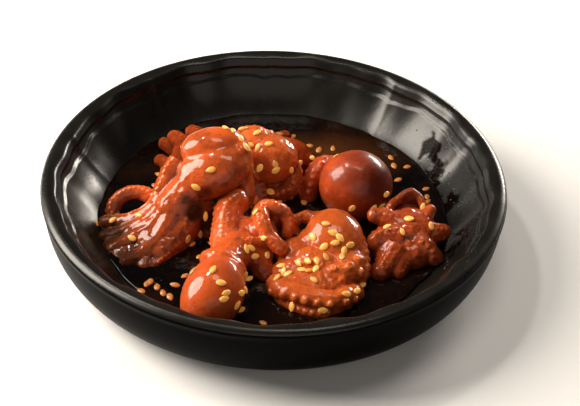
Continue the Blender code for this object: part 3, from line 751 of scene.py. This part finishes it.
def suckerBeads(line, side, size):
    # two staggered rows of cups along the side of the arm that faces the given way
    beads = []
    lean = math.radians(fleshPlan["suckerSpread"])
    gap = size * mm * fleshPlan["suckerSpacing"]
    travelled = 0.0
    wanted = gap
    row = 1
    for (here, radius), (there, _next) in zip(line, line[1:]):
        along = there - here
        length = along.length
        tangent = along.normalized()
        facing = Vector(side) - tangent * Vector(side).dot(tangent)
        facing.normalize()
        across = tangent.cross(facing)
        while wanted <= travelled + length:
            place = here + tangent * (wanted - travelled)
            outward = facing * math.cos(lean * row) + across * math.sin(lean * row)
            bead = size * mm * min(1.0, 0.55 + radius / (fleshPlan["fullArm"] * mm) * 0.45)
            beads.append((place + outward * radius * fleshPlan["suckerLift"], outward, bead))
            row = -row
            wanted += gap * fleshPlan["suckerStagger"]
        travelled += length
    return beads


def growOctopus(name, plan):
    bm = bmesh.new()
    for centre, radii, *turn in plan["lumps"]:
        fine = 5 if max(radii) > fleshPlan["largeLump"] else 4
        addBall(bm, Vector(centre) * mm, Vector(radii) * mm, fine, *turn)
    lines = [limbLine(*limb[:3]) for limb in plan["limbs"]]
    beads = []
    for limb, line in zip(plan["limbs"], lines):
        addBall(bm, line[-1][0], Vector((1, 1, 1)) * line[-1][1])
        if len(limb) > 3:
            beads += suckerBeads(line, limb[3], limb[4])
    for place, outward, size in beads:
        addBead(bm, place, outward, size, fleshPlan["suckerFlatness"], 2)
    bm.from_mesh(limbTubes(name + "Tubes", lines))
    octopus = addObject(name, meshFrom(bm, name))
    melt = octopus.modifiers.new("melt", "REMESH")
    melt.mode = "VOXEL"
    melt.voxel_size = fleshPlan["voxel"]
    soften = octopus.modifiers.new("soften", "SMOOTH")
    soften.factor = 0.5
    soften.iterations = fleshPlan["smoothSteps"]
    bakeModifiers(octopus)
    keepLargest(octopus.data)
    wrinkle(octopus.data, plan["rough"], plan["smooth"])
    cupSuckers(octopus.data, beads)
    markHollows(octopus.data)
    paintShadeAndDarkSkin(octopus, plan["shadeAndDarkSkin"])
    octopus.data.shade_smooth()
    return octopus


def keepLargest(mesh):
    # throw away bits that ended up sealed inside or loose
    one, two = edgeEnds(mesh)
    label = np.arange(len(mesh.vertices))
    while True:
        low = np.minimum(label[one], label[two])
        fresh = label.copy()
        np.minimum.at(fresh, one, low)
        np.minimum.at(fresh, two, low)
        fresh = fresh[fresh]
        if np.array_equal(fresh, label):
            break
        label = fresh
    names, counts = np.unique(label, return_counts=True)
    if len(names) == 1:
        return
    keep = names[np.argmax(counts)]
    bm = bmesh.new()
    bm.from_mesh(mesh)
    bm.verts.ensure_lookup_table()
    loose = [bm.verts[index] for index in np.nonzero(label != keep)[0]]
    bmesh.ops.delete(bm, geom=loose, context="VERTS")
    bm.to_mesh(mesh)
    bm.free()


def cupSuckers(mesh, beads):
    # press a small pit into each sucker and mark where the suckers are
    plan = fleshPlan
    places = vertexArray(mesh)
    mark = np.zeros(len(places))
    for place, outward, size in beads:
        gap = places - np.array(place)
        near = np.nonzero(np.abs(gap).max(1) < size * plan["suckerReach"])[0]
        if not len(near):
            continue
        spots = gap[near]
        out = np.array(outward)
        rise = spots @ out
        across = np.linalg.norm(spots - rise[:, None] * out, axis=1)
        mark[near] = np.maximum(mark[near], np.clip(1.5 - np.linalg.norm(spots, axis=1) / size, 0, 1))
        pit = np.clip(1 - (across / (size * plan["pitRadius"])) ** 2, 0, 1) * (rise > 0)
        places[near] -= pit[:, None] * out * size * plan["pitDepth"]
    setVertices(mesh, places)
    setMask(mesh, "sucker", mark)


def smoothed(mesh, steps):
    # the points after being moved, step by step, to the middle of their neighbours
    one, two = edgeEnds(mesh)
    places = vertexArray(mesh)
    count = (np.bincount(one, None, len(places)) + np.bincount(two, None, len(places)))[:, None]
    for _step in range(steps):
        total = np.zeros_like(places)
        for axis in range(3):
            total[:, axis] = np.bincount(one, places[two, axis], len(places))
            total[:, axis] += np.bincount(two, places[one, axis], len(places))
        places = total / count
    return places


def wrinkle(mesh, rough, spots):
    # softer creases in the smooth places, folds and wrinkles along the normals elsewhere
    share = np.ones(len(mesh.vertices))
    places = vertexArray(mesh)
    for centre, reach in spots:
        gap = np.linalg.norm(places - np.array(centre) * mm, axis=1) / (reach * mm)
        share *= np.clip((gap - fleshPlan["softEdge"]) / fleshPlan["softFade"], 0, 1)
    if spots:
        places = smoothed(mesh, fleshPlan["softSteps"]) * (1 - share)[:, None] + places * share[:, None]
        setVertices(mesh, places)
    push = np.zeros(len(places))
    for size, depth, offset in fleshPlan["wrinkles"]:
        push += depth * np.array([noise.noise(spot) for spot in (places / size + offset).tolist()])
    share = (share * 0.88 + 0.12) * rough
    setVertices(mesh, places + (push * share)[:, None] * vertexArray(mesh, "normal"))
    setMask(mesh, "rough", np.clip(share, 0, 1))


def markHollows(mesh):
    # how far each point lies below the smoothed surface round it: 0.5 is level, 1 is a crease; the finish
    # paints shade into the creases and light onto the crests from it
    sunk = smoothed(mesh, fleshPlan["hollowSteps"]) - vertexArray(mesh)
    depth = (sunk * vertexArray(mesh, "normal")).sum(1)
    setMask(mesh, "hollow", np.clip(0.5 + depth / fleshPlan["hollowDepth"] * 0.5, 0, 1))


def paintShadeAndDarkSkin(octopus, spots):
    # paint the skin darker round the points that the picture shows at the given pixels: mostly painted shade
    # in hollows and under overhangs, partly skin that is darker in itself
    places = vertexArray(octopus.data)
    skin = treeOf([octopus])
    shadeAndDarkSkin = np.zeros(len(places))
    for x, y, reach, strength in spots:
        centre, _normal = seenAt(skin, x, y)
        if centre is None:
            continue
        gap = np.linalg.norm(places - np.array(centre), axis=1) / (reach * mm)
        shadeAndDarkSkin = np.maximum(shadeAndDarkSkin, strength * np.clip(fleshPlan["shadeAndDarkSkinReach"] - gap, 0, 1))
    setMask(octopus.data, "shadeAndDarkSkin", shadeAndDarkSkin)


def fleshFinish(name, plan):
    finish = Finish(name)
    blotch = finish.noise(0.010, 3.0, 0.6)
    streak = finish.noise(0.0020, 4.0, 0.65, offset=0.21)
    fleck = finish.noise(0.0006, 2.0, 0.5, offset=0.37)
    height = finish.node("ShaderNodeSeparateXYZ", {}, {0: finish.place}).out("Z")
    sunk = 1 - height.between(0.0080, 0.0160)
    sucker = finish.attribute("sucker")
    hollow = finish.attribute("hollow")
    shadeAndDarkSkin = finish.attribute("shadeAndDarkSkin")
    patchy = blotch.between(0.40, 0.66) * 0.34 + streak.between(0.45, 0.75) * 0.22 + sunk * 0.34
    # painted shade, darker at the listed spots and in the creases and hollows
    shade = (shadeAndDarkSkin * (streak * 0.3 + 0.8) + hollow.between(0.52, 0.95) * 0.5).clamped()
    # painted light, lighter on the crests outside the painted shade
    litCrest = (1 - hollow.between(0.05, 0.45)) * (1 - shadeAndDarkSkin)
    middle = tuple(math.sqrt(warm * deep) for warm, deep in zip(plan["warm"], plan["deep"]))
    flesh = finish.mix((patchy * 1.5).clamped(), plan["warm"], middle)
    flesh = finish.mix(shade, flesh, plan["deep"])
    # pale is the paler colour of the suckers, which is their own, and of the crests, where it is painted
    # light
    pale = tuple(channel * gain for channel, gain in zip(plan["warm"], (1.35, 1.7, 1.6)))
    colour = finish.mix((sucker * 0.45 + litCrest * 0.34).clamped(), flesh, pale)
    colour = finish.mix(fleck.between(0.60, 0.70) * 0.5, colour, plan["deep"])
    skin = finish.bump(fleck, 0.00005, 0.5)
    wet = finish.noise(0.0016, 2.0, offset=0.5) * (finish.attribute("rough") * 0.85 + 0.15)
    glaze = finish.bump(wet, 0.00045, 0.6, skin)
    return finish.paint(
        Base_Color=colour,
        Roughness=0.30 + streak * 0.16,
        Normal=glaze,
        Specular_IOR_Level=plan["haze"],
        Coat_Weight=(1 - shadeAndDarkSkin.between(0.65, 1.0) * 0.95) * plan["gloss"],
        Coat_Roughness=plan["blur"],
        Coat_IOR=fleshPlan["coatBend"],
        Subsurface_Weight=fleshPlan["scatter"],
        Subsurface_Scale=fleshPlan["scatterReach"],
    )


octopuses = []
for name, plan in octopusPlans.items():
    octopus = growOctopus(name, plan)
    octopus.data.materials.append(fleshFinish(name + "Flesh", plan))
    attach(octopus, "root")
    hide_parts(plan["node"])
    octopuses.append(octopus)
    print(name, "grown:", len(octopus.data.polygons), "faces")


# marinade
marinadePlan = {
    "level": 0.0085,
    "sideHeights": (0.0053, 0.0062, 0.0072),
    "inset": 0.0004,
    "bevel": 0.0002,
    "sway": 0.6,
    "rings": 90,
    "segments": 300,
    "amberCentre": (0.015, 0.033),
    "amberReach": (0.030, 0.014),
    "dark": (0.0012, 0.0006, 0.0003),
    "light": (0.011, 0.0032, 0.0010),
    "amberColour": (0.13, 0.040, 0.009),
    "fleckColour": (0.12, 0.032, 0.006),
}


def marinadeMesh(plan):
    # up the dish's wall, a little inside it, and then in rings to the middle
    steps = dishPlan["wallSteps"]
    wall = [wallPoint(step / steps) for step in range(steps, 0, -1)]
    profile = []
    for height in (*plan["sideHeights"], plan["level"] - plan["bevel"]):
        reach = next(radius for radius, top in wall if top > height - 0.0001)
        profile.append((reach - plan["inset"], height, plan["sway"]))
    edge = profile[-1][0] - plan["bevel"]
    for ring in range(plan["rings"]):
        share = ring / plan["rings"]
        profile.append((edge * (1 - share), plan["level"], plan["sway"] * (1 - share)))
    mesh = turned("marinadePool", profile, plan["segments"], dishSway)
    # an oval near the food at the back, where the marinade is painted a lighter amber-brown
    gaps = (vertexArray(mesh)[:, :2] - np.array(plan["amberCentre"])) / np.array(plan["amberReach"])
    setMask(mesh, "amberPatch", np.clip(1.25 - np.hypot(gaps[:, 0], gaps[:, 1]), 0, 1))
    return mesh


def marinadeFinish():
    finish = Finish("darkMarinade")
    cloud = finish.noise(0.016, 3.0)
    fleck = finish.noise(0.0011, 3.0, offset=0.3)
    amberPatch = finish.attribute("amberPatch") * (cloud * 0.9 + 0.4)
    colour = finish.mix(cloud.between(0.40, 0.72), marinadePlan["dark"], marinadePlan["light"])
    # lighter amber-brown over the oval towards the back
    colour = finish.mix(amberPatch.clamped() * 0.6, colour, marinadePlan["amberColour"])
    colour = finish.mix(fleck.between(0.64, 0.78) * 0.35, colour, marinadePlan["fleckColour"])
    ripple = finish.bump(finish.noise(0.005, 2.0, offset=0.8), 0.00035, 0.5)
    return finish.paint(Base_Color=colour, Roughness=0.07 + fleck * 0.04, Normal=ripple,
                        Specular_IOR_Level=0.3)


marinadePool = addObject("marinadePool", marinadeMesh(marinadePlan), marinadeFinish())
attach(marinadePool, "root")
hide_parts("marinade")
print("marinade poured")


# drops on the wall and the marinade (pixel, spread in pixels, number) and bubbles (pixel, radius),
# in millimetres
dropPlan = {
    "onWall": ((432, 145, 26, 26, 22), (440, 178, 22, 22, 16), (455, 215, 16, 22, 24), (466, 240, 14, 20, 26),
               (448, 258, 14, 12, 14)),
    "onMarinade": ((126, 262, 10, 8, 20), (156, 282, 10, 6, 8), (458, 262, 12, 10, 12), (200, 318, 14, 3, 8)),
    "bigBubbles": ((398, 146, 1.5), (404, 149, 1.1), (394, 142, 0.9)),
    "small": 0.16,
    "large": 0.52,
    "dropHeight": 0.55,
    "bubbleHeight": 0.7,
    "dark": (0.012, 0.005, 0.002),
    "light": (0.030, 0.011, 0.003),
}


def strewDrops():
    draw = random.Random(5)
    bm = bmesh.new()
    spots = []
    trees = {"onWall": treeOf([dishShell]), "onMarinade": treeOf([marinadePool])}
    for group, tree in trees.items():
        for x, y, wide, high, count in dropPlan[group]:
            for _drop in range(count):
                spot = seenAt(tree, draw.gauss(x, wide / 2), draw.gauss(y, high / 2))
                radius = dropPlan["small"] + (dropPlan["large"] - dropPlan["small"]) * draw.random() ** 3
                spots.append((*spot, radius, dropPlan["dropHeight"]))
    for x, y, radius in dropPlan["bigBubbles"]:
        spots.append((*seenAt(trees["onMarinade"], x, y), radius, dropPlan["bubbleHeight"]))
    for place, normal, radius, flatness in spots:
        if place is not None:
            addBead(bm, place, normal, radius * mm, flatness, 3)
    mesh = meshFrom(bm, "sauceDrops")
    mesh.shade_smooth()
    return mesh


def dropFinish():
    finish = Finish("sauceDrop")
    tint = finish.noise(0.004, 2.0)
    colour = finish.mix(tint, dropPlan["dark"], dropPlan["light"])
    return finish.paint(Base_Color=colour, Roughness=0.05 + tint * 0.04, Coat_Weight=0.5,
                        Coat_Roughness=0.03)


sauceDrops = addObject("sauceDrops", strewDrops(), dropFinish())
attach(sauceDrops, "root")
print("drops strewn:", len(sauceDrops.data.polygons), "faces")


# sesame seeds: those in seenOn lie where the photo shows them, by its pixels
seedPlan = {
    "length": 0.0033,
    "width": 0.0021,
    "thickness": 0.0010,
    "taper": 0.34,
    "sink": 0.24,
    "tilt": 0.12,
    "sizes": (0.88, 1.10),
    "wetLift": 0.25,
    "wetSoak": 0.85,
    "drySoaks": (0.0, 0.1, 0.2, 0.4),
    "pale": (1.0, 0.575, 0.13),
    "toasted": (1.0, 0.40, 0.06),
    "soaked": (0.36, 0.105, 0.014),
    "seenOn": {
        "tallMantle": [(196, 187), (211, 170), (225, 128), (233, 131), (243, 129), (241, 139), (246, 147),
                       (250, 145), (257, 133), (258, 148)],
        "back": [(269, 144), (275, 164), (276, 170), (291, 170), (260, 168), (271, 192)],
        "roundAndNear": [(312, 158), (386, 194), (352, 208), (381, 206), (373, 208)],
        "star": [(409, 219), (387, 227), (402, 232), (431, 226), (423, 207)],
        "wide": [(326, 224), (313, 237), (333, 233), (340, 238), (335, 243), (324, 247), (350, 245),
                 (344, 251), (342, 257), (326, 257), (299, 263), (308, 261), (317, 261), (281, 266),
                 (284, 271), (288, 274), (302, 270), (309, 271), (316, 269), (314, 280), (277, 278),
                 (346, 294), (357, 291), (292, 307), (323, 310), (363, 285)],
        "front": [(221, 283), (226, 293), (224, 299), (241, 293), (237, 305), (241, 310), (245, 290),
                  (213, 270), (246, 249), (251, 248), (255, 256), (245, 275), (249, 279), (256, 212),
                  (264, 238), (267, 255)],
        "leftArms": [(98, 225), (113, 220), (139, 215), (132, 238), (205, 216)],
        "inMarinade": [(200, 234), (188, 239), (192, 244), (185, 276), (193, 271), (150, 282), (157, 287),
                       (175, 285), (163, 293), (170, 297), (141, 291), (147, 284), (263, 323), (271, 132),
                       (280, 134), (292, 137), (309, 146), (319, 150), (333, 149), (304, 202), (391, 158),
                       (394, 166), (407, 167), (398, 180), (426, 189), (427, 197), (427, 202)],
    },
    "unseen": 46,
    "tries": 4000,
    "fallRadius": 0.052,
    "fallHeight": 0.08,
    "steepest": 0.2,
    "hiddenGap": 0.004,
    "spacing": 0.003,
}


def seedShape():
    bm = bmesh.new()
    bmesh.ops.create_icosphere(bm, subdivisions=3, radius=1.0)
    places = np.array([vert.co for vert in bm.verts])
    faces = np.array([[vert.index for vert in face.verts] for face in bm.faces])
    bm.free()
    taper = 1 - seedPlan["taper"] * np.clip((places[:, 0] + 0.1) / 1.1, 0, 1) ** 1.6
    places[:, 1] *= taper
    places[:, 2] *= 0.55 + 0.45 * taper
    places *= np.array([seedPlan["length"], seedPlan["width"], seedPlan["thickness"]]) / 2
    return places, faces


def seedSpots(food):
    # the seeds that the photo shows, and then others that fall where it can't see
    plan = seedPlan
    draw = random.Random(11)
    spots = []
    for group, pixels in plan["seenOn"].items():
        for x, y in pixels:
            place, normal = seenAt(food, x, y)
            if place is not None:
                spots.append((place, normal, draw.uniform(0, math.tau), group == "inMarinade"))
    eye = cameraAxes(cameraPlan)[3]
    wanted = len(spots) + plan["unseen"]
    for _try in range(plan["tries"]):
        if len(spots) == wanted:
            break
        angle, reach = draw.uniform(0, math.tau), plan["fallRadius"] * math.sqrt(draw.random())
        start = Vector((reach * math.cos(angle), reach * math.sin(angle), plan["fallHeight"]))
        place, normal, _face, _far = food.ray_cast(start, Vector((0, 0, -1)))
        if place is None or normal.z < plan["steepest"]:
            continue
        hit = food.ray_cast(eye, (place - eye).normalized())[0]
        if hit is not None and (hit - place).length < plan["hiddenGap"]:
            continue
        if any((place - other[0]).length < plan["spacing"] for other in spots):
            continue
        wet = place.z < marinadePlan["level"] + 0.0002
        spots.append((place, normal, draw.uniform(0, math.tau), wet))
    return spots


def laySeeds(spots):
    # one mesh of all the seeds, each turned, tilted and toasted a little differently
    plan = seedPlan
    places, faces = seedShape()
    draw = random.Random(5)
    allPlaces, allFaces, soaked, tone = [], [], [], []
    for place, normal, spin, wet in spots:
        upright = normal.to_track_quat("Z", "Y").to_matrix()
        turn = Matrix.Rotation(spin, 3, "Z") @ Matrix.Rotation(draw.gauss(0, plan["tilt"]), 3, "Y")
        size = draw.uniform(*plan["sizes"])
        pose = np.array(upright @ turn)
        lift = plan["thickness"] * (0.5 - plan["sink"]) * (plan["wetLift"] if wet else 1)
        allFaces.append(faces + len(allPlaces) * len(places))
        allPlaces.append(places * size @ pose.T + np.array(place + normal * lift))
        soaked += [plan["wetSoak"] if wet else draw.choice(plan["drySoaks"])] * len(places)
        tone += [draw.random()] * len(places)
    mesh = bpy.data.meshes.new("sesameSeeds")
    mesh.from_pydata(np.concatenate(allPlaces).tolist(), [], np.concatenate(allFaces).tolist())
    setMask(mesh, "soaked", np.array(soaked))
    setMask(mesh, "tone", np.array(tone))
    mesh.shade_smooth()
    return mesh


def seedFinish():
    finish = Finish("toastedSeed")
    mottle = finish.noise(0.0012, 3.0)
    colour = finish.mix(finish.attribute("tone") * 0.6 + mottle * 0.4, seedPlan["pale"], seedPlan["toasted"])
    colour = finish.mix(finish.attribute("soaked"), colour, seedPlan["soaked"])
    dents = finish.bump(mottle, 0.00010, 0.4)
    # the seeds glow a little in their own colour: painted light that brightens them
    return finish.paint(Base_Color=colour, Roughness=0.42, Normal=dents, Coat_Weight=0.4,
                        Coat_Roughness=0.12, Emission_Color=colour, Emission_Strength=0.20)


food = treeOf([*octopuses, marinadePool])
sesameSeeds = addObject("sesameSeeds", laySeeds(seedSpots(food)), seedFinish())
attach(sesameSeeds, "root")
print("seeds strewn:", len(sesameSeeds.data.polygons), "faces")


# floor and light
roomPlan = {
    "floorHalf": 3.0,
    "floorColour": (0.97, 0.97, 0.97),
    "skyColour": (1.0, 1.0, 1.0),
    "skyStrength": 0.05,
    "lampColour": (1.0, 0.91, 0.80),
    # direction, distance, size and power
    "lamps": {
        "leftWindow": ((-0.80, 0.14, 0.53), 0.6, (0.38, 0.56), 7.8),
        "backStrip": ((0.52, 0.82, 0.22), 0.9, (0.45, 0.14), 6.4),
        "overhead": ((0.08, 0.15, 1.0), 1.1, (0.50, 0.25), 1.9),
        "frontFill": ((0.15, -0.86, 0.50), 1.2, (1.60, 1.00), 2.3),
        "spark": ((-0.35, 0.40, 0.85), 0.8, (0.07, 0.07), 1.1),
    },
}


def addLamp(name, toward, distance, size, power):
    lamp = bpy.data.lights.new(name, "AREA")
    lamp.shape = "ELLIPSE"
    lamp.size, lamp.size_y = size
    lamp.energy = power
    lamp.color = roomPlan["lampColour"]
    holder = bpy.data.objects.new(name, lamp)
    toward = Vector(toward).normalized()
    holder.location = toward * distance
    holder.rotation_euler = (-toward).to_track_quat("-Z", "Y").to_euler()
    holder.visible_camera = False
    bpy.context.scene.collection.objects.link(holder)


def lightSky():
    sky = bpy.data.worlds.new("sky")
    sky.use_nodes = True
    glow = sky.node_tree.nodes["Background"].inputs
    glow["Color"].default_value = (*roomPlan["skyColour"], 1.0)
    glow["Strength"].default_value = roomPlan["skyStrength"]
    bpy.context.scene.world = sky


def makeFloor():
    bm = bmesh.new()
    bmesh.ops.create_grid(bm, x_segments=1, y_segments=1, size=roomPlan["floorHalf"])
    finish = Finish("paleFloor")
    paint = finish.paint(Base_Color=roomPlan["floorColour"], Roughness=0.9)
    return addObject("floor", meshFrom(bm, "floor"), paint)


for name, lamp in roomPlan["lamps"].items():
    addLamp(name, *lamp)
lightSky()
bpy.context.scene.view_settings.view_transform = "Standard"
floor = makeFloor()
print("lights and floor set")
